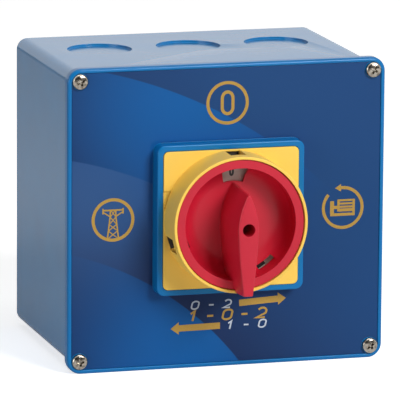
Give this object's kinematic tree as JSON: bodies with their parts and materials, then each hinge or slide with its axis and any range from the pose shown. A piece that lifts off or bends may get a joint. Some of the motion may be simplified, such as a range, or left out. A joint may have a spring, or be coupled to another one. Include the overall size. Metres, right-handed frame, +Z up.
{
  "type": "manual changeover switch",
  "caption": "Wall-mounted manual changeover switch in a square moulded box, worked by a padlockable rotary handle with three positions.",
  "frame": {"origin": "centre of the flat back face that lies on the wall", "axes": "+X to the right as seen from the front, +Y into the wall (the front faces -Y), +Z up"},
  "size_m": [0.16, 0.1502, 0.15],
  "materials": {
    "blue_shell": "smooth glossy moulded plastic",
    "printed_film": "printed film under a gloss laminate",
    "yellow_moulding": "satin moulded plastic",
    "red_moulding": "satin moulded plastic",
    "grey_dial": "matt",
    "black_rubber": "matt",
    "bright_screws": "nickel-plated",
    "spring_steel": "drawn wire",
    "zinc_steel": "zinc-plated",
    "grey_moulding": "matt moulded thermoset",
    "dark_moulding": "matt moulded thermoset",
    "white_moulding": "natural nylon",
    "orange_moulding": "matt moulded nylon",
    "copper": "bare copper",
    "brass": "bare brass"
  },
  "bodies": {
    "enclosure": {"enclosure_base": "blue_shell", "cover_gasket": "black_rubber", "front_cover": "blue_shell", "cover_screws": "bright_screws", "front_label": "printed_film", "escutcheon_gasket": "black_rubber", "escutcheon_plate": "yellow_moulding", "lock_collar": "yellow_moulding", "escutcheon_screws": "bright_screws", "dial_plate": "grey_dial", "mounting_plate": "zinc_steel", "mounting_screws": "bright_screws", "foot_screws": "bright_screws", "rear_plate": "dark_moulding", "contact_deck_1": "grey_moulding", "contact_deck_2": "grey_moulding", "contact_deck_3": "grey_moulding", "contact_deck_4": "grey_moulding", "fixed_contacts_1": "brass", "fixed_contacts_2": "brass", "fixed_contacts_3": "brass", "fixed_contacts_4": "brass", "upper_springs": "spring_steel", "lower_springs": "spring_steel", "terminal_screws": "bright_screws", "terminal_clamps": "bright_screws", "link_bars": "copper", "index_housing": "dark_moulding", "index_springs": "spring_steel", "switch_front_plate": "grey_moulding", "tie_bolts": "bright_screws", "tie_nuts": "bright_screws", "earth_bar": "brass", "earth_bar_screws": "bright_screws"},
    "handle": {"handle_knob": "red_moulding", "handle_screw": "bright_screws", "hub_o_ring": "black_rubber", "hub_circlip": "bright_screws", "shaft_extension": "zinc_steel", "shaft_coupling": "zinc_steel", "coupling_screws": "bright_screws", "switch_shaft": "zinc_steel", "rear_bush": "white_moulding", "cam_disc_1": "orange_moulding", "cam_disc_2": "orange_moulding", "cam_disc_3": "orange_moulding", "cam_disc_4": "orange_moulding", "index_wheel": "white_moulding"},
    "upper_contacts": {"upper_plungers": "white_moulding", "upper_bridges": "copper"},
    "lower_contacts": {"lower_plungers": "white_moulding", "lower_bridges": "copper"}
  },
  "joints": [
    {"name": "handle_turn", "type": "hinge", "parent": "enclosure", "child": "handle", "pos_m": [0, 0, 0], "axis": [0, 1, 0], "range_deg": [-90, 90], "deforming": ["index_springs"]},
    {"name": "upper_contact_travel", "type": "slide", "parent": "enclosure", "child": "upper_contacts", "axis": [0, 0, 1], "range_m": [-0.003, 0.003], "deforming": ["upper_springs"]},
    {"name": "lower_contact_travel", "type": "slide", "parent": "enclosure", "child": "lower_contacts", "axis": [0, 0, 1], "range_m": [-0.003, 0.003], "deforming": ["lower_springs"]}
  ],
  "couplings": [
    {"joint": "upper_contact_travel", "follows": "handle_turn", "m_per_rad": 0.0019099},
    {"joint": "lower_contact_travel", "follows": "handle_turn", "m_per_rad": 0.0019099}
  ]
}
